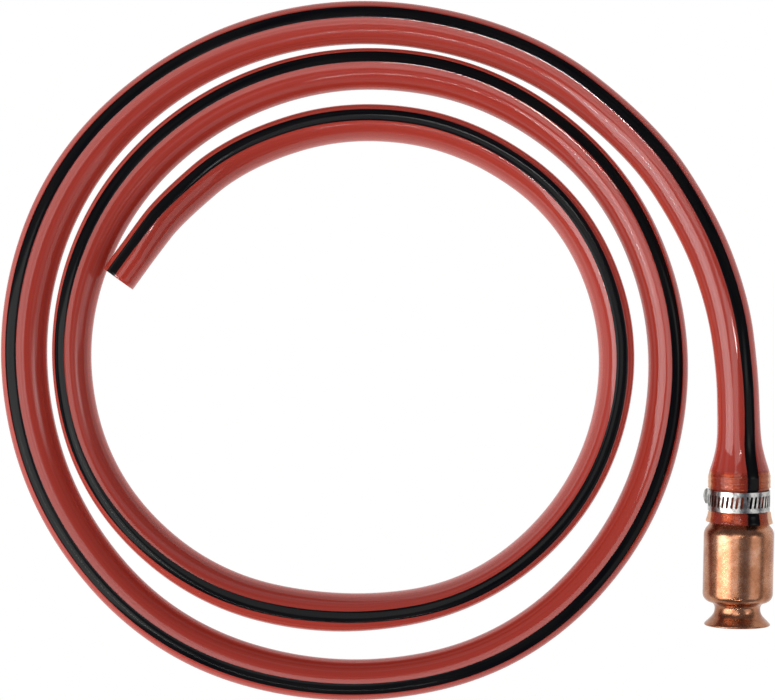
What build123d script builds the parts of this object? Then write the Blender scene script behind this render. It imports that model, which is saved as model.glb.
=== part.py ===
from build123d import *
import os
from math import acos, cos, degrees, radians, sin, sqrt, tan

# Shaker siphon, lying on a flat surface. Millimetres and degrees.
#
# The copper valve, the hose end stretched over it and the clamp are each modelled on a straight axis:
# the valve axis is +Y, with the centre of the mouth at Y = 0 and the hose at larger Y. Places are along
# that axis, and angles around it are from +X towards +Z. STANDING then leans the whole group on the
# surface, which is Z = 0, with the middle of the group over the origin.

# ---- copper valve ----
WALL = 0.9
LIP_RADIUS = 12.85
NECK_RADIUS = 8.9
CHAMBER_RADIUS = 13.7
SHANK_RADIUS = 10.9
FLARE_ARC = 4.5
FLARE_ANGLE = 45
NECK_LAND = 0.3
NECK_ARC = 2.4
LOWER_SHOULDER_ARC = 3.5
CHAMBER_LENGTH = 22.9
UPPER_SHOULDER_ARC = 4.6
SHANK_ROOT_ARC = 6.3
SHANK_END = 60.3
BEAD_PITCH = 2.3
BEAD_LAST = 58.1
BEAD_COUNT = 3
BEAD_HEIGHT = 0.35
BEAD_HALF_WIDTH = 0.5

# ---- ball and its stop ----
BALL_RADIUS = 9.0
BALL_GAP = 0.1
PIN_RADIUS = 1.2
PIN_PLACE = 43.0
PIN_RECESS = 0.05

# ---- hose ----
HOSE_RADIUS = 7.95
BORE_RADIUS = 6.35
CUFF_RIM = 40.0
CUFF_RIM_RADIUS = 13.05
CUFF_ROOT_RADIUS = 12.3
CUFF_RADIUS = 12.1
CUFF_BEND = 59.3
CUFF_BEND_ARC = 6.0
CUFF_END = 79.1
EXIT_RUN = 20.0

# ---- clamp band ----
CLAMP_PLACE = 48.7
BAND_WIDTH = 8.0
BAND_THICKNESS = 0.45
BAND_RADIUS = 11.4
BAND_CLEARANCE = 0.1
BAND_START = 242
RAMP_START = -60.5
RAMP_END = -87.5
TAIL_END = -282
TAIL_ROUND = 5.0
SLOT_ANGLE = 9
SLOT_LENGTH = 4.7
SLOT_WIDTH = 1.0
SLOT_SLANT = 7.5
SLOT_MARGIN = 7

# ---- clamp housing and screw ----
HOUSING_ANGLE = 250
HOUSING_HALF_LENGTH = 4.2
HOUSING_HALF_SECTOR = 19.5
HOUSING_SIDE = 0.3
SIDE_CLEARANCE = 0.1
SADDLE_INNER = 11.08
SADDLE_OUTER = 11.33
ROOF_INNER = 12.5
ROOF_OUTER = 12.85
DOME_WALL = 0.5
END_WALL = 0.25
WORM_RADIUS = 2.3
WORM_CORE = 1.6
WORM_DIP = 0.35
WORM_CLEARANCE = 0.15
THREAD_CREST = 0.4
THREAD_ROOT = 0.95
THREAD_HALF_LENGTH = 3.7
JOURNAL_RADIUS = 1.2
JOURNAL_CLEARANCE = 0.1
JOURNAL_END = 4.5
COLLAR_RADIUS = 2.6
COLLAR_START = 4.35
HEAD_START = 5.7
HEAD_END = 8.35
HEAD_FLATS = 5.5
HEAD_CHAMFER = 0.35
DRIVER_SLOT = 0.9
DRIVER_DEPTH = 1.1

# ---- standing ----
LEAN = 5.7  # the lip and the clamp's housing both touch the surface

# ---- the hose's way over the surface ----
# Control corners from the valve to the free end. The first two are on the leaning valve axis. From there
# the hose comes down to the surface and winds inwards in loose turns around COIL_CENTRE, one radius for
# every COIL_STEP degrees. Its free end leans on the middle turn.
COIL_CENTRE = (-155, 68)
COIL_STEP = 30
COIL_FIRST_ANGLE = 60
LEAD_IN = [(-5, 86, 20.5), (-16.8, 116, 13.5), (-40, 150, 8.6)]
COIL_RADII = [
    134.8, 128.6, 126.7, 128, 128.8, 131.8, 135.8, 135.6, 139.1, 135.9, 130.7,
    125.1, 117, 109.8, 106.6, 107.4, 109.7, 112.3, 111, 108, 112.2, 112.5, 110.3,
    104.3, 94.8, 88, 85.4,
]
FREE_END = [(-223.8, 118.6, 8.6), (-243.3, 91.2, 16.6)]

# ---- worked out: places and angles along the valve ----
LIP_MIDDLE = LIP_RADIUS - WALL / 2
FLARE_TURN = radians(FLARE_ANGLE)
FLARE_CENTRE = (
    NECK_RADIUS + FLARE_ARC,
    LIP_MIDDLE - NECK_RADIUS - FLARE_ARC + (FLARE_ARC + WALL / 2) * (cos(FLARE_TURN) + sin(FLARE_TURN)),
)
NECK_CENTRE = (NECK_RADIUS + NECK_ARC, FLARE_CENTRE[1] + NECK_LAND)
LOWER_ARCS = NECK_ARC + LOWER_SHOULDER_ARC
LOWER_TURN = acos(1 - (CHAMBER_RADIUS - NECK_RADIUS) / LOWER_ARCS)
CHAMBER_START = NECK_CENTRE[1] + LOWER_ARCS * sin(LOWER_TURN)
CHAMBER_END = CHAMBER_START + CHAMBER_LENGTH
UPPER_ARCS = UPPER_SHOULDER_ARC + SHANK_ROOT_ARC
UPPER_TURN = acos(1 - (CHAMBER_RADIUS - SHANK_RADIUS) / UPPER_ARCS)
SHANK_START = CHAMBER_END + UPPER_ARCS * sin(UPPER_TURN)
SEAT_REACH = BALL_RADIUS + BALL_GAP + NECK_ARC + WALL
BALL_SEAT = NECK_CENTRE[1] + sqrt(SEAT_REACH ** 2 - NECK_CENTRE[0] ** 2)
BALL_TRAVEL = PIN_PLACE - PIN_RADIUS - BALL_RADIUS - BALL_GAP - BALL_SEAT

# ---- worked out: clamp ----
TAIL_RADIUS = BAND_RADIUS + BAND_THICKNESS + BAND_CLEARANCE
THREAD_PITCH = radians(SLOT_ANGLE) * (TAIL_RADIUS + BAND_THICKNESS / 2)
WORM_PLACE = TAIL_RADIUS + BAND_THICKNESS - WORM_DIP + WORM_RADIUS
DOME_RADIUS = WORM_RADIUS + WORM_CLEARANCE + DOME_WALL
HOUSING_HALF_WIDTH = BAND_WIDTH / 2 + SIDE_CLEARANCE + HOUSING_SIDE

# ---- worked out: standing ----
MOUTH_HEIGHT = LIP_MIDDLE * cos(radians(LEAN)) + WALL / 2
GROUP_FRONT = -LIP_MIDDLE * sin(radians(LEAN)) - WALL / 2
GROUP_BACK = CUFF_END * cos(radians(LEAN)) + HOSE_RADIUS * sin(radians(LEAN))
STANDING = Location((0, -(GROUP_FRONT + GROUP_BACK) / 2, MOUTH_HEIGHT), (LEAN, 0, 0))


def arc(centre, radius, start, end):
    """Arc in the profile plane, from the angle start to the angle end, either way round."""
    def at(angle):
        return (centre[0] + radius * cos(radians(angle)), centre[1] + radius * sin(radians(angle)))
    return ThreePointArc(at(start), at((start + end) / 2), at(end))


def closed_face(curves):
    """A face from curves in order, with straight lines across the gaps between them."""
    gaps = [
        Line(curve @ 1, following @ 0)
        for curve, following in zip(curves, curves[1:] + curves[:1])
        if (curve @ 1 - following @ 0).length > 1e-6
    ]
    return make_face(curves + gaps)


def valve_arcs(inset):
    """The wall's arcs from lip to shank, as centre (radius, place), size and angles, moved in by inset."""
    lower, upper = degrees(LOWER_TURN), degrees(UPPER_TURN)
    shoulder = (CHAMBER_RADIUS - LOWER_SHOULDER_ARC, CHAMBER_START)
    top_shoulder = (CHAMBER_RADIUS - UPPER_SHOULDER_ARC, CHAMBER_END)
    root = (SHANK_RADIUS + SHANK_ROOT_ARC, SHANK_START)
    return [
        (FLARE_CENTRE, FLARE_ARC + inset, 180 + FLARE_ANGLE, 180),
        (NECK_CENTRE, NECK_ARC + inset, 180, 180 - lower),
        (shoulder, LOWER_SHOULDER_ARC - inset, -lower, 0),
        (top_shoulder, UPPER_SHOULDER_ARC - inset, 0, upper),
        (root, SHANK_ROOT_ARC + inset, 180 + upper, 180),
    ]


def shank_curves():
    """The outside of the shank: its beads, and the last of it up to its end."""
    curves = []
    for number in reversed(range(BEAD_COUNT)):
        place = BEAD_LAST - number * BEAD_PITCH
        curves.append(ThreePointArc(
            (SHANK_RADIUS, place - BEAD_HALF_WIDTH),
            (SHANK_RADIUS + BEAD_HEIGHT, place),
            (SHANK_RADIUS, place + BEAD_HALF_WIDTH),
        ))
    return curves + [Line((SHANK_RADIUS, SHANK_END - WALL), (SHANK_RADIUS, SHANK_END))]


def pin_bar():
    """A bar across the shank, longer than the shank is wide."""
    return Pos(0, PIN_PLACE, 0) * Rot(0, 90, 0) * Cylinder(PIN_RADIUS, 3 * SHANK_RADIUS)


def valve_body():
    """Copper mouth, neck, chamber and shank, with a rounded lip and a cross hole for the stop pin."""
    lip = arc((LIP_MIDDLE, 0), WALL / 2, 180 + FLARE_ANGLE, 360 + FLARE_ANGLE)
    outside = [arc(*outline) for outline in valve_arcs(0)] + shank_curves()
    shank_bore = SHANK_RADIUS - WALL
    inside = [Line((shank_bore, SHANK_END), (shank_bore, SHANK_END - WALL))]
    inside += [arc(centre, size, end, start) for centre, size, start, end in reversed(valve_arcs(WALL))]
    return revolve(closed_face([lip] + outside + inside), Axis.Y) - pin_bar()


def filled_valve():
    """The space inside the copper's outer surface, from the neck to the end of the shank."""
    outside = [arc(*outline) for outline in valve_arcs(0)[1:]] + shank_curves()
    axis = Line((0, SHANK_END), (0, NECK_CENTRE[1]))
    return revolve(closed_face(outside + [axis]), Axis.Y)


def check_ball():
    """Glass ball, resting on the seat inside the neck."""
    return Pos(0, BALL_SEAT, 0) * Sphere(BALL_RADIUS)


def ball_stop_pin():
    """Cross pin that keeps the ball out of the shank, cut to the shank's round."""
    round_bar = Rot(90, 0, 0) * Cylinder(SHANK_RADIUS - PIN_RECESS, 4 * PIN_RADIUS)
    return pin_bar() & Pos(0, PIN_PLACE, 0) * round_bar


def around(angle, radius, place):
    """The point at an angle and a radius around the valve axis."""
    return Vector(radius * cos(radians(angle)), place, radius * sin(radians(angle)))


def outward(angle):
    """Direction away from the valve axis."""
    return around(angle, 1, 0)


def onward(angle):
    """Direction around the valve axis in which the band is wound: angles fall along it."""
    return around(angle - 90, 1, 0)


def ring_sector(inner, outer, half_width, middle, half_angle):
    """Part of a ring around the valve axis at the clamp."""
    start, end = middle - half_angle, middle + half_angle
    face = closed_face([arc((0, 0), outer, start, end), arc((0, 0), inner, end, start)])
    return Pos(0, CLAMP_PLACE, 0) * extrude(Plane.XZ * face, half_width, both=True)


def cuff_slope():
    """Two arcs from the plain hose up to the shank, tangent to each other and to the hose."""
    rise, run = CUFF_RADIUS - HOSE_RADIUS, CUFF_END - CUFF_BEND
    turn = 2 * radians(Vector(run, 0).get_angle(Vector(run, rise)))
    long_arc = run / sin(turn) - CUFF_BEND_ARC
    bend = arc((CUFF_RADIUS - CUFF_BEND_ARC, CUFF_BEND), CUFF_BEND_ARC, 0, degrees(turn))
    slope = arc((HOSE_RADIUS + long_arc, CUFF_END), long_arc, 180 + degrees(turn), 180)
    return [bend, slope]


def hose_cuff():
    """The hose's end, stretched over the shank, flared at its rim and squeezed under the clamp."""
    groove_radius = BAND_RADIUS - BAND_CLEARANCE
    groove_half = BAND_WIDTH / 2 + SIDE_CLEARANCE
    rim = Line((CUFF_RIM_RADIUS, CUFF_RIM), (CUFF_ROOT_RADIUS, CLAMP_PLACE - groove_half))
    groove = Line((groove_radius, CLAMP_PLACE - groove_half), (groove_radius, CLAMP_PLACE + groove_half))
    land = Line((CUFF_RADIUS, CLAMP_PLACE + groove_half), (CUFF_RADIUS, CUFF_BEND))
    bore = TangentArc((BORE_RADIUS, CUFF_END), (SHANK_RADIUS, SHANK_END), tangent=(0, -1))
    within = Line((SHANK_RADIUS - WALL / 2, SHANK_END), (SHANK_RADIUS - WALL / 2, CUFF_RIM))
    cuff = revolve(closed_face([rim, groove, land] + cuff_slope() + [bore, within]), Axis.Y)
    pocket = ring_sector(
        SADDLE_INNER - BAND_CLEARANCE / 2,
        2 * CUFF_RADIUS,
        HOUSING_HALF_WIDTH + BAND_CLEARANCE / 2,
        HOUSING_ANGLE,
        HOUSING_HALF_SECTOR + 0.5,
    )
    return cuff - filled_valve() - pocket


def hose_corners():
    """The hose's control corners on the surface, from the cuff to the free end."""
    corners = [(STANDING * Location((0, CUFF_END + run, 0))).position for run in (0, EXIT_RUN)]
    corners += [Vector(*point) for point in LEAD_IN]
    for number, radius in enumerate(COIL_RADII):
        angle = radians(COIL_FIRST_ANGLE + number * COIL_STEP)
        corners.append(Vector(
            COIL_CENTRE[0] + radius * cos(angle),
            COIL_CENTRE[1] + radius * sin(angle),
            HOSE_RADIUS,
        ))
    return corners + [Vector(*point) for point in FREE_END]


def hose():
    """The free hose: one tube with its bore open, along straight runs and tangent arcs."""
    corners = hose_corners()
    radii = []
    for before, corner, after in zip(corners, corners[1:], corners[2:]):
        run = min((corner - before).length, (after - corner).length)
        turn = radians((corner - before).get_angle(after - corner))
        radii.append(0.45 * run / tan(turn / 2))
    path = FilletPolyline(*corners, radius=radii)
    ring = Plane(path @ 0, z_dir=path % 0) * (Circle(HOSE_RADIUS) - Circle(BORE_RADIUS))
    tube = sweep(ring, path)
    print("hose length", round(path.length, 1), "bend radii", [round(radius) for radius in radii])
    print("hose volume over section times length", round(tube.volume / (ring.area * path.length), 4))
    return tube


def band_strip():
    """The clamp's strip, edge on: once around the hose, then up and on over its own start."""
    edges = []
    for offset in (0, BAND_THICKNESS):
        under = arc((0, 0), BAND_RADIUS + offset, BAND_START, RAMP_START)
        over = arc((0, 0), TAIL_RADIUS + offset, RAMP_END, TAIL_END)
        ramp = Spline(under @ 1, over @ 0, tangents=[under % 1, over % 0])
        edges += [under, ramp, over]
    ends = [Line(edges[0] @ 0, edges[3] @ 0), Line(edges[2] @ 1, edges[5] @ 1)]
    return make_face(edges + ends)


def band_slot(angle, inner, outer):
    """One slanted slot, cut from the radius inner to the radius outer."""
    slant = radians(SLOT_SLANT)
    along = onward(angle) * sin(slant) + Vector(0, cos(slant), 0)
    plane = Plane(around(angle, inner, CLAMP_PLACE), x_dir=along, z_dir=outward(angle))
    return extrude(plane * SlotOverall(SLOT_LENGTH, SLOT_WIDTH), outer - inner)


def tail_rounding():
    """What rounding takes off the band's free end."""
    plane = Plane(
        around(TAIL_END, TAIL_RADIUS - BAND_CLEARANCE / 2, CLAMP_PLACE),
        x_dir=-onward(TAIL_END),
        z_dir=outward(TAIL_END),
    )
    end = Pos(TAIL_ROUND / 6, 0) * Rectangle(TAIL_ROUND * 0.7, 2 * TAIL_ROUND)
    kept = Pos(TAIL_ROUND - BAND_CLEARANCE, 0) * Circle(TAIL_ROUND)
    return extrude(plane * (end - kept), 1)


def clamp_band():
    """Slotted steel band, with its slots in step with the worm and its free end rounded."""
    strip = Pos(0, CLAMP_PLACE, 0) * extrude(Plane.XZ * band_strip(), BAND_WIDTH / 2, both=True)
    lowest = BAND_RADIUS - BAND_CLEARANCE
    between = TAIL_RADIUS - BAND_CLEARANCE / 2
    highest = TAIL_RADIUS + BAND_THICKNESS + BAND_CLEARANCE
    under_worm = HOUSING_ANGLE - 360
    first = under_worm + SLOT_ANGLE * int((BAND_START - SLOT_MARGIN - under_worm) / SLOT_ANGLE)
    slots = []
    for angle in range(first, TAIL_END + SLOT_MARGIN, -SLOT_ANGLE):
        low = lowest if angle > RAMP_END else between
        high = between if angle > RAMP_START + SLOT_MARGIN else highest
        slots.append(band_slot(angle, low, high))
    return strip - slots - tail_rounding()


def worm_plane(along):
    """Plane across the screw's axis: normal towards its head, x towards the hose."""
    angle = HOUSING_ANGLE
    origin = around(angle, WORM_PLACE, CLAMP_PLACE) + onward(angle) * along
    return Plane(origin, x_dir=-outward(angle), z_dir=onward(angle))


def rod(radius, start, end):
    """A round bar on the screw's axis."""
    return extrude(worm_plane(start) * Circle(radius), end - start)


def channel(half_width, half_length, reach):
    """A block from the screw's axis towards the hose."""
    outline = Pos(reach / 2, 0) * Rectangle(reach, 2 * half_width)
    return extrude(worm_plane(-half_length) * outline, 2 * half_length)


def clamp_housing():
    """Saddle under the band, sides and roof over it, and the dome that holds the worm."""
    length = HOUSING_HALF_LENGTH
    dome = rod(DOME_RADIUS, -length, length) + channel(DOME_RADIUS, length, WORM_PLACE - ROOF_INNER)
    ring = ring_sector(SADDLE_INNER, ROOF_OUTER, HOUSING_HALF_WIDTH, HOUSING_ANGLE, HOUSING_HALF_SECTOR)
    passage = ring_sector(
        SADDLE_OUTER,
        ROOF_INNER,
        BAND_WIDTH / 2 + SIDE_CLEARANCE,
        HOUSING_ANGLE,
        2 * HOUSING_HALF_SECTOR,
    )
    space = WORM_RADIUS + WORM_CLEARANCE
    inside = length - END_WALL
    cavity = rod(space, -inside, inside) + channel(space, inside, WORM_PLACE - ROOF_INNER + WORM_DIP)
    journals = rod(JOURNAL_RADIUS + JOURNAL_CLEARANCE, -2 * length, 2 * length)
    return dome + ring - passage - cavity - journals


def worm_thread():
    """The worm's right-hand ridge, in step with the slots under it."""
    turns = 2
    helix = Helix(THREAD_PITCH, 2 * turns * THREAD_PITCH, WORM_CORE)
    foot = Plane(helix @ 0, x_dir=(1, 0, 0), z_dir=helix % 0)
    depth = WORM_RADIUS - WORM_CORE
    root, crest = THREAD_ROOT / 2, THREAD_CREST / 2
    ridge = make_face(Polyline((-0.1, -root), (depth, -crest), (depth, crest), (-0.1, root), close=True))
    thread = worm_plane(-turns * THREAD_PITCH).location * sweep(foot * ridge, helix, is_frenet=True)
    return thread & rod(2 * WORM_RADIUS, -THREAD_HALF_LENGTH, THREAD_HALF_LENGTH)


def screw_head():
    """Hexagon head with a rounded-off face and a screwdriver slot."""
    height = HEAD_END - HEAD_START
    hexagon = RegularPolygon(HEAD_FLATS / 2, 6, major_radius=False, rotation=90)
    face_radius = HEAD_FLATS / 2 - HEAD_CHAMFER / 4
    envelope = Cone(face_radius + height * tan(radians(60)), face_radius, height)
    head = extrude(worm_plane(HEAD_START) * hexagon, height)
    head = head & worm_plane(HEAD_START + height / 2).location * envelope
    return head - extrude(worm_plane(HEAD_END - DRIVER_DEPTH) * Rectangle(DRIVER_SLOT, 2 * HEAD_FLATS), height)


def clamp_screw():
    """Worm screw: thread, journal, collar and slotted hexagon head."""
    shaft = rod(WORM_CORE, -THREAD_HALF_LENGTH, THREAD_HALF_LENGTH) + rod(JOURNAL_RADIUS, -JOURNAL_END, COLLAR_START)
    return shaft + rod(COLLAR_RADIUS, COLLAR_START, HEAD_START) + screw_head() + worm_thread()


def main():
    """Write every sub-part, with the valve's group standing on the surface."""
    os.makedirs("parts", exist_ok=True)
    for make in (
        valve_body, check_ball, ball_stop_pin, hose_cuff, clamp_band, clamp_housing, clamp_screw,
    ):
        export_step(STANDING * make(), f"parts/{make.__name__}.step")
    export_step(hose(), "parts/hose.step")


main()
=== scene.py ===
import math

import bpy
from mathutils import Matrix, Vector


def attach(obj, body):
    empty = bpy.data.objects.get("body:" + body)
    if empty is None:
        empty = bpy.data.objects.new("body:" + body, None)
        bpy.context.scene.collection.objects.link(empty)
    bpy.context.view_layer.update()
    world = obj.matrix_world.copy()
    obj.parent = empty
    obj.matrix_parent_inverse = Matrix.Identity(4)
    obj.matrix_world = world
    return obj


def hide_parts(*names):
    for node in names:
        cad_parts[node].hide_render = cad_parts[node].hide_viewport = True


# Shaker siphon. Sizes below are in millimetres, and turned into metres where they are used.
MM = 0.001

# ---- the valve's axis, as in the CAD part ----
LEAN = math.radians(5.7)
MOUTH = Vector((0, -38.9085, 12.7887))
VALVE_AXIS = Vector((0, math.cos(LEAN), math.sin(LEAN)))
SEAM_PLACE = 48.7  # middle of the clamp's band: the hose's two meshes meet under it
SHANK_END = 60.3
SHANK_RADIUS = 10.9
BEADS = (53.5, 55.8, 58.1)
BEAD_OUTSIDE, BEAD_OUTSIDE_REACH = 0.12, 1.1  # how far a bead shows on the hose's outside, and half its width
BEAD_INSIDE, BEAD_INSIDE_REACH = 0.35, 0.8

# ---- hose ----
HOSE_RADIUS = 7.95
HOSE_WALL = 1.6
STRIPE_WIDTH = 4.6
CUFF_END = 79.1  # the CAD part's stretched end stops here
OVAL_START = 125  # the hose has its full oval section from here on
SQUEEZED_RADIUS = 11.3  # outside radius under the clamp's band
SQUEEZE_END = (52.6, 53.5)  # between these places the hose comes out from under the band
FIT_GAP = 0.05  # between the shank and the hose
BORE_END = (-0.2, 1.2)  # between these distances from the shank's end the bore comes off it
STRETCHED_STRIPE = 0.15  # how much wider each half of the stripe is over the shank
LIFT_FADE = 4  # an oval section is lifted onto the surface only if the hose is less than this above it

# Control corners of the hose's line, as in the CAD part: on the leaning valve axis, down to the surface,
# then inwards in loose turns around COIL_CENTRE, one radius for every COIL_STEP degrees.
COIL_CENTRE = (-155, 68)
COIL_STEP = 30
COIL_FIRST_ANGLE = 60
ON_AXIS = [(SEAM_PLACE, -0.2), (60, -0.3), (CUFF_END, -1.0), (99.1, -2.0)]  # place, and how far to the side
LEAD_IN = [(-6, 86, 20.5), (-17.5, 116, 13.5), (-40.5, 150, 8.6)]
COIL_RADII = [
    134.8, 128.6, 126.7, 128, 128.8, 131.8, 135.8, 135.6, 139.1, 135.9, 130.7,
    125.1, 117, 109.8, 106.6, 107.4, 109.7, 112.3, 111, 108, 112.2, 112.5, 110.3,
    104.3, 94.8, 88, 85.4,
]
FREE_END = [(-223.8, 118.6, 13.8), (-233.5, 105.2, 16.6), (-243.3, 91.2, 16.6)]

# The free hose's section is a leaning oval: half its width seen from above and half its greatest width,
# and how far the stripe's middle is outwards from its middle, at angles around the coil.
OVALS = [
    (-15, 8.3, 8.35), (60, 8.4, 8.7), (120, 8.5, 8.8), (155, 9.1, 9.2), (190, 9.0, 9.2), (240, 8.4, 8.8),
    (290, 7.8, 8.6), (340, 7.8, 8.6), (395, 7.5, 8.6), (440, 8.1, 8.9), (505, 8.4, 9.0), (550, 7.6, 8.8),
    (620, 7.7, 8.8), (662, 6.4, 9.8), (695, 6.6, 9.8), (730, 7.0, 9.7), (800, 7.2, 9.6), (850, 7.3, 9.3),
    (885, 7.0, 8.8),
]
STRIPE_OFFSETS = [
    (-15, 4.3), (0, 4.0), (90, 4.25), (180, 5.3), (270, 3.6), (360, 3.6), (450, 4.9), (540, 4.9),
    (630, 1.8), (720, 2.1), (810, 3.1), (840, 3.4), (880, 3.6),
]
CUFF_STRIPE_TURN = 25

# Outside radius of the hose where it comes off the shank, at places along the valve. Its corners are rounded
# by averaging it over the places around each one.
FLARE = [
    (58.0, 12.1), (59.3, 11.9), (61.6, 11.2), (64.0, 10.4), (66.3, 9.8), (68.6, 9.25), (71.0, 8.85),
    (75.0, 8.5), (79.0, 8.35), (110.0, 7.95),
]
FLARE_ROUNDING = (-1.2, -0.6, 0, 0.6, 1.2)
STRIPE_FLARE = (62, 84)  # between these places the stripe turns away from where it is over the shank

# The hose's very end: places along the valve with the radii outside and inside. Its stripe is wider
# near the rim, and the rim isn't cut quite square.
RIM_ROWS = [
    (40.0, 12.95, 11.5), (40.05, 13.05, 11.42), (40.5, 13.02, 11.3), (41.2, 12.85, 11.15),
    (42.2, 12.55, 11.0), (43.2, 12.35, 10.96), (43.9, 12.25, 10.95), (44.3, 11.95, 10.95),
    (44.55, 11.5, 10.95), (44.8, SQUEEZED_RADIUS, 10.95), (SEAM_PLACE, SQUEEZED_RADIUS, 10.95),
]
RIM_FADE = (40, 44)  # the rim's own widening and skew are gone at the second place
RIM_STRIPE = 0.2
RIM_SKEW = math.radians(1.2)

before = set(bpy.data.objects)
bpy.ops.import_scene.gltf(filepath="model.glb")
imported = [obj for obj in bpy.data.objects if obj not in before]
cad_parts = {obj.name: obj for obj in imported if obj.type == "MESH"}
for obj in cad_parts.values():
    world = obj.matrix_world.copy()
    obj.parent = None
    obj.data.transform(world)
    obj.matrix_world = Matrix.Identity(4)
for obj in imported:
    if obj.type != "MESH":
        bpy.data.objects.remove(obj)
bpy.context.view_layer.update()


# ---- camera, looking straight down from far away ----
VIEW_CENTRE = (-138.0, 65.4)
CAMERA_HEIGHT = 3500
CAMERA_ROLL = math.radians(1.0)
VIEW_WIDTH = 302.3
SENSOR = 36

camera = bpy.data.objects.new("camera", bpy.data.cameras.new("camera"))
camera.data.sensor_width = SENSOR
camera.data.lens = SENSOR * (CAMERA_HEIGHT - HOSE_RADIUS) / VIEW_WIDTH
camera.data.clip_end = 20
camera.location = Vector((*VIEW_CENTRE, CAMERA_HEIGHT)) * MM
camera.rotation_euler = (0, 0, CAMERA_ROLL)
bpy.context.scene.collection.objects.link(camera)
bpy.context.scene.camera = camera


# ---- the hose's line ----
def route():
    """The hose's control corners."""
    corners = [MOUTH + VALVE_AXIS * place + Vector((sideways, 0, 0)) for place, sideways in ON_AXIS]
    corners += [Vector(point) for point in LEAD_IN]
    for number, radius in enumerate(COIL_RADII):
        angle = math.radians(COIL_FIRST_ANGLE + number * COIL_STEP)
        x = COIL_CENTRE[0] + radius * math.cos(angle)
        y = COIL_CENTRE[1] + radius * math.sin(angle)
        corners.append(Vector((x, y, HOSE_RADIUS)))
    return corners + [Vector(point) for point in FREE_END]


def smooth_line(corners):
    """Points along the NURBS spline whose control points are the corners."""
    curve = bpy.data.curves.new("hose_line", "CURVE")
    curve.dimensions = "3D"
    spline = curve.splines.new("NURBS")
    spline.points.add(len(corners) - 1)
    for point, corner in zip(spline.points, corners):
        point.co = (*(corner * MM), 1)
    spline.order_u = 3
    spline.use_endpoint_u = True
    spline.resolution_u = 26
    holder = bpy.data.objects.new("hose_line", curve)
    bpy.context.scene.collection.objects.link(holder)
    bpy.context.view_layer.update()
    mesh = bpy.data.meshes.new_from_object(holder)
    points = [vertex.co.copy() / MM for vertex in mesh.vertices]
    bpy.data.objects.remove(holder)
    bpy.data.meshes.remove(mesh)
    return points


def blended(table, at):
    """Values between the rows of a table, eased from row to row."""
    if at <= table[0][0]:
        return table[0][1:]
    for (low, *low_values), (high, *high_values) in zip(table, table[1:]):
        if at <= high:
            share = (at - low) / (high - low)
            share = share * share * (3 - 2 * share)
            return [first + (last - first) * share for first, last in zip(low_values, high_values)]
    return table[-1][1:]


def fall(at, start, end):
    """From 1 before start to 0 after end."""
    share = min(max((at - start) / (end - start), 0), 1)
    return 1 - share * share * (3 - 2 * share)


def bump_at(place, middle, half_width):
    """A round bump around one place."""
    share = min(abs(place - middle) / half_width, 1)
    return (1 + math.cos(math.pi * share)) / 2


def straight_between(table, at):
    """Value between the rows of a table, in straight lines."""
    if at <= table[0][0]:
        return table[0][1]
    for (low, low_value), (high, high_value) in zip(table, table[1:]):
        if at <= high:
            return low_value + (high_value - low_value) * (at - low) / (high - low)
    return table[-1][1]


def stretched_radius(place):
    """Outside radius of the hose where it is stretched over the shank, by the place along the valve."""
    eased = [straight_between(FLARE, place + offset) for offset in FLARE_ROUNDING]
    radius = sum(eased) / len(eased)
    radius += sum(BEAD_OUTSIDE * bump_at(place, bead, BEAD_OUTSIDE_REACH) for bead in BEADS)
    squeezed = fall(place, *SQUEEZE_END)
    return radius * (1 - squeezed) + SQUEEZED_RADIUS * squeezed


def stretched_bore(place):
    """Inside radius of the hose over the shank and just after it."""
    over = SHANK_RADIUS + FIT_GAP
    after = min(stretched_radius(place) - HOSE_WALL, over)
    on_shank = fall(place - SHANK_END, *BORE_END)
    beads = sum(BEAD_INSIDE * bump_at(place, bead, BEAD_INSIDE_REACH) for bead in BEADS)
    return after * (1 - on_shank) + (over + beads) * on_shank


# ---- meshes from rings ----
STRIPE_COLUMNS = 6
PLAIN_COLUMNS = 46


def column_turns(middle, half_width):
    """Angles from the top of a section's columns: the stripe's first, then the rest of the way round."""
    turns = []
    for number in range(STRIPE_COLUMNS):
        turns.append(middle - half_width + 2 * half_width * number / STRIPE_COLUMNS)
    rest = 2 * math.pi - 2 * half_width
    for number in range(PLAIN_COLUMNS):
        turns.append(middle + half_width + rest * number / PLAIN_COLUMNS)
    return turns


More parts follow.
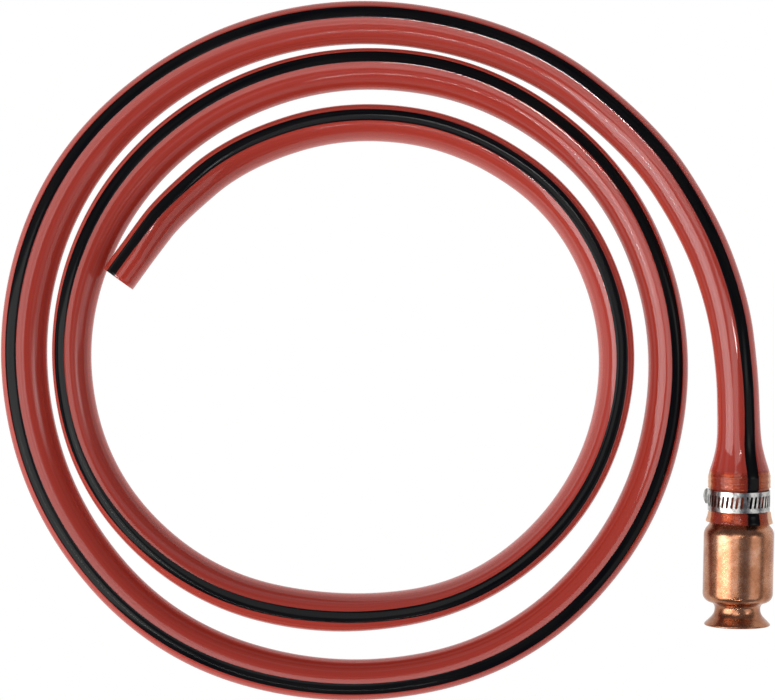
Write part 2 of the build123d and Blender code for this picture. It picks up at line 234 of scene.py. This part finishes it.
def tube_mesh(name, sections):
    """A hollow tube with closed ends from sections of (outer ring, inner ring, length so far).

    Its stripe has the second material. Its UV coordinates are metres along it and the share of the way round.
    """
    columns = STRIPE_COLUMNS + PLAIN_COLUMNS
    vertices, faces, stripe, uvs = [], [], [], []
    for outer, inner, _ in sections:
        vertices += outer + inner
    across = 2 * columns

    def quad(corners, in_stripe, uv):
        faces.append(corners)
        stripe.append(in_stripe)
        uvs.extend(uv)

    for ring in range(len(sections) - 1):
        along = (sections[ring][2] * MM, sections[ring + 1][2] * MM)
        for column in range(columns):
            after = (column + 1) % columns
            low, high = column / columns, (column + 1) / columns
            a, b = ring * across + column, ring * across + after
            c, d = b + across, a + across
            in_stripe = column < STRIPE_COLUMNS
            uv = [(along[0], low), (along[0], high), (along[1], high), (along[1], low)]
            quad((a, b, c, d), in_stripe, uv)
            quad(tuple(index + columns for index in (d, c, b, a)), in_stripe, uv[::-1])
    for ring, flip in ((0, False), (len(sections) - 1, True)):
        at = sections[ring][2] * MM
        for column in range(columns):
            after = (column + 1) % columns
            a, b = ring * across + column, ring * across + after
            corners = (a, a + columns, b + columns, b)
            uv = [(at, column / columns)] * 4
            quad(corners[::-1] if flip else corners, column < STRIPE_COLUMNS, uv)
    mesh = bpy.data.meshes.new(name)
    mesh.from_pydata([vertex * MM for vertex in vertices], [], faces)
    layer = mesh.uv_layers.new(name="along")
    for loop, uv in zip(layer.data, uvs):
        loop.uv = uv
    for polygon, in_stripe in zip(mesh.polygons, stripe):
        polygon.material_index = 1 if in_stripe else 0
        polygon.use_smooth = True
    mesh.update()
    return mesh


def ring_points(centre, side, up, turns, long_half, short_half, lean=0.0):
    """One ring of an oval section, its long axis leaning upwards on the outer side."""
    points = []
    for turn in turns:
        across, over = long_half * math.sin(turn), short_half * math.cos(turn)
        sideways = across * math.cos(lean) - over * math.sin(lean)
        upwards = across * math.sin(lean) + over * math.cos(lean)
        points.append(centre + side * sideways + up * upwards)
    return points


def linked(name, mesh, *materials):
    """An object with its materials, in the scene."""
    piece = bpy.data.objects.new(name, mesh)
    for material in materials:
        mesh.materials.append(material)
    bpy.context.scene.collection.objects.link(piece)
    return piece


def angle_around(point, previous):
    """Angle of a point around the coil, carried on from the point before so that it never jumps."""
    angle = math.degrees(math.atan2(point.y - COIL_CENTRE[1], point.x - COIL_CENTRE[0]))
    if previous is None:
        return angle
    return angle + 360 * round((previous - angle) / 360)


def oval_at(angle, plain, free):
    """Half width seen from above, half axes and lean of a section. It is round where free is 0."""
    seen_half, long_half = blended(OVALS, angle)
    seen_half = plain + (seen_half - plain) * free
    long_half = max(plain + (long_half - plain) * free, seen_half)
    short_half = 2 * plain - long_half
    spread = max(long_half ** 2 - short_half ** 2, 0.1)
    lean = math.asin(math.sqrt(min((long_half ** 2 - seen_half ** 2) / spread, 1)))
    return seen_half, long_half, short_half, lean


def stripe_at(place, angle, oval):
    """Where the stripe's middle is around a section, and half its width, both as turns."""
    seen_half, long_half, short_half, lean = oval
    (offset,) = blended(STRIPE_OFFSETS, angle)
    turned = math.atan2(short_half * math.sin(lean), long_half * math.cos(lean))
    free_turn = turned + math.asin(offset / seen_half)
    flared = fall(place, *STRIPE_FLARE)
    turn = free_turn + (math.radians(CUFF_STRIPE_TURN) - free_turn) * flared
    reach = math.hypot(long_half * math.cos(turn), short_half * math.sin(turn))
    return turn, (STRIPE_WIDTH / 2 + STRETCHED_STRIPE * flared) / reach


def hose_sections(line):
    """Sections of the hose along its line, from under the clamp to the free end."""
    sections = []
    length = 0
    angle = None
    for number, point in enumerate(line):
        if number:
            length += (point - line[number - 1]).length
        before, after = line[max(number - 1, 0)], line[min(number + 1, len(line) - 1)]
        tangent = (after - before).normalized()
        side = tangent.cross(Vector((0, 0, 1))).normalized()
        up = side.cross(tangent).normalized()
        angle = angle_around(point, angle)
        place = SEAM_PLACE + length
        free = 1 - fall(place, CUFF_END, OVAL_START)
        plain = stretched_radius(place)
        oval = oval_at(angle, plain, free)
        _, long_half, short_half, lean = oval
        # an oval that lies on the surface is moved up or down so that it still touches it
        tall = math.hypot(long_half * math.sin(lean), short_half * math.cos(lean))
        lying = 1 - min((point.z - HOSE_RADIUS) / LIFT_FADE, 1)
        centre = point + Vector((0, 0, (tall - HOSE_RADIUS) * lying * free))
        turns = column_turns(*stripe_at(place, angle, oval))
        wall = plain - stretched_bore(place)
        outer = ring_points(centre, side, up, turns, long_half, short_half, lean)
        inner = ring_points(centre, side, up, turns, long_half - wall, short_half - wall, lean)
        sections.append((outer, inner, length))
    return sections


def cuff_sections():
    """Sections of the hose's very end, from its flared and slightly skewed rim to under the clamp."""
    side, up = Vector((1, 0, 0)), VALVE_AXIS.cross(Vector((-1, 0, 0)))
    sections = []
    for place, radius, bore in RIM_ROWS:
        near_rim = fall(place, *RIM_FADE)
        half_stripe = STRIPE_WIDTH / 2 + STRETCHED_STRIPE + RIM_STRIPE * near_rim
        turns = column_turns(math.radians(CUFF_STRIPE_TURN), half_stripe / radius)
        skew = math.tan(RIM_SKEW) * near_rim
        rings = []
        for size in (radius, bore):
            ring = ring_points(MOUTH + VALVE_AXIS * place, side, up, turns, size, size)
            rings.append([point + VALVE_AXIS * (-skew * point.x) for point in ring])
        sections.append((rings[0], rings[1], place - SEAM_PLACE))
    return sections


# ---- materials ----
def material(name, **values):
    """A material with one Principled shader. Returns it, its node tree and its shader."""
    made = bpy.data.materials.new(name)
    made.use_nodes = True
    tree = made.node_tree
    shader = tree.nodes["Principled BSDF"]
    for socket, value in values.items():
        shader.inputs[socket.replace("_", " ")].default_value = value
    return made, tree, shader


def node(tree, kind, inputs=(), **settings):
    """A node of a kind, with its settings, its values and what feeds it."""
    made = tree.nodes.new(kind)
    for name, value in settings.items():
        setattr(made, name, value)
    for name, value in dict(inputs).items():
        socket = made.inputs[name]
        if isinstance(value, bpy.types.NodeSocket):
            tree.links.new(value, socket)
        else:
            socket.default_value = value
    return made


def ramp(tree, source, *stops):
    """A colour ramp over a value, with stops of (place, colour)."""
    made = node(tree, "ShaderNodeValToRGB", {"Fac": source})
    elements = made.color_ramp.elements
    while len(elements) < len(stops):
        elements.new(0.5)
    for element, (place, colour) in zip(elements, stops):
        element.position = place
        element.color = (*colour, 1)
    return made.outputs["Color"]


def along_hose(tree, scale_along, scale_around):
    """Coordinates that run along the hose and around it."""
    uv = node(tree, "ShaderNodeUVMap", uv_map="along").outputs["UV"]
    mapping = node(tree, "ShaderNodeMapping", {"Vector": uv, "Scale": (scale_along, scale_around, 1)})
    return mapping.outputs["Vector"]


def noise(tree, vector, scale, detail=3.0, roughness=0.5):
    """Noise over coordinates, between 0 and 1."""
    values = {"Vector": vector, "Scale": scale, "Detail": detail, "Roughness": roughness}
    return node(tree, "ShaderNodeTexNoise", values).outputs["Fac"]


def bump(tree, shader, height, distance, strength=1.0, below=None):
    """A relief on a shader, over another relief if one is given. Returns the normals."""
    values = {"Height": height, "Distance": distance, "Strength": strength}
    if below is not None:
        values["Normal"] = below
    made = node(tree, "ShaderNodeBump", values)
    tree.links.new(made.outputs["Normal"], shader.inputs["Normal"])
    return made.outputs["Normal"]


def red_pvc():
    """Translucent red hose: a tinted film under a gloss, thinner and clearer where it is over the shank."""
    made, tree, shader = material("red_pvc", Roughness=0.10, IOR=1.45, Coat_Weight=0.4, Coat_Roughness=0.03)
    streaks = noise(tree, along_hose(tree, 3, 24), 1.0, 3.0)
    colour = ramp(
        tree, streaks,
        (0.32, (0.38, 0.038, 0.022)), (0.52, (0.42, 0.054, 0.036)), (0.70, (0.44, 0.105, 0.092)),
    )
    tree.links.new(colour, shader.inputs["Base Color"])
    lines = noise(tree, along_hose(tree, 3, 60), 1.0, 1.0)
    waves = noise(tree, along_hose(tree, 45, 3), 1.0, 1.0)
    first = bump(tree, shader, lines, 0.00003, 0.5)
    bump(tree, shader, waves, 0.0002, 0.5, below=first)
    uv = node(tree, "ShaderNodeUVMap", uv_map="along").outputs["UV"]
    along = node(tree, "ShaderNodeSeparateXYZ", {"Vector": uv}).outputs["X"]
    past_shank = {"Value": along, "From Min": 0.0108, "From Max": 0.0122}
    free = node(tree, "ShaderNodeMapRange", past_shank).outputs["Result"]
    cover = {"Value": free, "To Min": 0.27, "To Max": 0.62}
    film = node(tree, "ShaderNodeMapRange", cover).outputs["Result"]
    tint = node(tree, "ShaderNodeBsdfTransparent")
    seen_through = ramp(tree, free, (0.0, (0.92, 0.74, 0.60)), (1.0, (0.90, 0.36, 0.31)))
    tree.links.new(seen_through, tint.inputs["Color"])
    mixed = node(tree, "ShaderNodeMixShader", {0: film})
    tree.links.new(tint.outputs[0], mixed.inputs[1])
    tree.links.new(shader.outputs[0], mixed.inputs[2])
    tree.links.new(mixed.outputs[0], tree.nodes["Material Output"].inputs["Surface"])
    return made


def black_stripe():
    """Black stripe, a little duller than the hose."""
    made, tree, shader = material("black_stripe", Roughness=0.14, IOR=1.5, Specular_IOR_Level=0.08)
    cloud = noise(tree, along_hose(tree, 25, 20), 1.0, 2.0)
    colour = ramp(tree, cloud, (0.35, (0.002, 0.002, 0.003)), (0.75, (0.007, 0.006, 0.006)))
    tree.links.new(colour, shader.inputs["Base Color"])
    waves = noise(tree, along_hose(tree, 45, 3), 1.0, 1.0)
    bump(tree, shader, waves, 0.0004, 0.5)
    return made


def valve_coordinates(tree):
    """Object coordinates turned so that Y runs along the valve's axis, in metres."""
    place = node(tree, "ShaderNodeTexCoord").outputs["Object"]
    values = {"Vector": place, "Rotation": (-LEAN, 0, 0)}
    return node(tree, "ShaderNodeMapping", values, vector_type="POINT").outputs["Vector"]


def stretched(tree, vector, scale):
    """Coordinates scaled differently along each axis."""
    return node(tree, "ShaderNodeMapping", {"Vector": vector, "Scale": scale}).outputs["Vector"]


def copper():
    """Spun copper: satin, speckled where it has dulled, with fine lines around it."""
    made, tree, shader = material("spun_copper", Metallic=1.0, Roughness=0.28)
    place = valve_coordinates(tree)
    cloud = noise(tree, place, 110, 5.0, 0.72)
    colour = ramp(
        tree, cloud,
        (0.34, (0.28, 0.105, 0.050)), (0.52, (0.42, 0.185, 0.10)), (0.68, (0.52, 0.28, 0.18)),
    )
    tree.links.new(colour, shader.inputs["Base Color"])
    grain = noise(tree, place, 2400, 4.0, 0.65)
    rough = node(tree, "ShaderNodeMapRange", {"Value": grain, "To Min": 0.14, "To Max": 0.38})
    tree.links.new(rough.outputs["Result"], shader.inputs["Roughness"])
    lines = noise(tree, stretched(tree, place, (60, 2500, 60)), 1.0, 2.0)
    first = bump(tree, shader, grain, 0.00003, 0.6)
    bump(tree, shader, lines, 0.00002, 0.5, below=first)
    return made


def steel(name, grain_scale):
    """Bright rolled stainless steel with a fine grain."""
    made, tree, shader = material(name, Metallic=1.0, Roughness=0.2)
    place = valve_coordinates(tree)
    cloud = noise(tree, place, 500, 3.0)
    colour = ramp(tree, cloud, (0.35, (0.26, 0.25, 0.24)), (0.65, (0.54, 0.53, 0.50)))
    tree.links.new(colour, shader.inputs["Base Color"])
    grain = noise(tree, stretched(tree, place, grain_scale), 1.0, 2.0)
    rough = node(tree, "ShaderNodeMapRange", {"Value": grain, "To Min": 0.12, "To Max": 0.3})
    tree.links.new(rough.outputs["Result"], shader.inputs["Roughness"])
    bump(tree, shader, grain, 0.00002, 0.4)
    return made


def ball_glass():
    """Clear glass with a few tiny seeds in its surface."""
    made, tree, shader = material(
        "ball_glass", Base_Color=(0.93, 0.98, 0.96, 1), Roughness=0.02, IOR=1.5, Transmission_Weight=1.0,
    )
    place = node(tree, "ShaderNodeTexCoord").outputs["Object"]
    bump(tree, shader, noise(tree, place, 300, 2.0), 0.00005, 0.3)
    return made


hose_material, stripe_material = red_pvc(), black_stripe()
copper_material = copper()
band_steel = steel("band_steel", (300, 4000, 300))
screw_steel = steel("screw_steel", (900, 900, 900))
for name, surface in (
    ("valve_body", copper_material),
    ("ball_stop_pin", copper_material),
    ("check_ball", ball_glass()),
    ("clamp_band", band_steel),
    ("clamp_housing", band_steel),
    ("clamp_screw", screw_steel),
):
    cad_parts[name].material_slots[0].material = surface

line = smooth_line(route())
hose = linked("hose_tube", tube_mesh("hose_tube", hose_sections(line)), hose_material, stripe_material)
cuff = linked("hose_end", tube_mesh("hose_end", cuff_sections()), hose_material, stripe_material)
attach(hose, "siphon")
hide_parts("hose")
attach(cuff, "siphon")
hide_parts("hose_cuff")


# ---- floor, lights and how the picture is shown, in metres ----
FLOOR_HEIGHT = -0.0002
FLOOR_CORNERS = [(-4, -4), (4, -4), (4, 4), (-4, 4)]


def floor():
    """A white light table."""
    made, tree, shader = material("floor", Base_Color=(0, 0, 0, 1), Roughness=1.0, Specular_IOR_Level=0.0)
    shader.inputs["Emission Color"].default_value = (1, 1, 1, 1)
    shader.inputs["Emission Strength"].default_value = 1.0
    mesh = bpy.data.meshes.new("floor")
    corners = [(x, y, FLOOR_HEIGHT) for x, y in FLOOR_CORNERS]
    mesh.from_pydata(corners, [], [(0, 1, 2, 3)])
    linked("floor", mesh, made)


def lamp(name, size, place, power, target=(-0.12, 0.05, 0.0), spread=180):
    """A rectangular soft light that faces the target, isn't seen itself and shines within its spread."""
    data = bpy.data.lights.new(name, "AREA")
    data.shape = "RECTANGLE"
    data.size, data.size_y = size
    data.energy = power
    data.spread = math.radians(spread)
    light = bpy.data.objects.new(name, data)
    light.location = place
    light.rotation_euler = (Vector(place) - Vector(target)).to_track_quat("Z", "Y").to_euler()
    light.visible_camera = False
    bpy.context.scene.collection.objects.link(light)


floor()
lamp("softbox", (1.5, 1.3), (-1.3, -0.35, 1.0), 28)
lamp("right_box", (1.2, 1.0), (1.3, -0.45, 0.9), 4)
lamp("window", (0.85, 0.6), (-0.28, 0.1, 1.28), 3.4)
lamp("strip", (0.30, 0.045), (0.0, 0.34, 1.26), 0.026, target=(-0.09, 0.17, 0.0), spread=18)
lamp("left_fill", (1.4, 1.0), (1.0, 0.25, 1.1), 0.22, target=(-0.29, 0.06, 0.0), spread=22)
lamp("low_strip", (2.2, 0.014), (-0.715, -0.90, 1.2), 5)

world = bpy.data.worlds.new("studio")
bpy.context.scene.world = world
world.use_nodes = True
world.node_tree.nodes["Background"].inputs["Color"].default_value = (0.92, 0.92, 1.1, 1)
world.node_tree.nodes["Background"].inputs["Strength"].default_value = 0.2
bpy.context.scene.view_settings.view_transform = "Standard"
bpy.context.scene.cycles.use_denoising = True
bpy.context.scene.cycles.transparent_max_bounces = 32
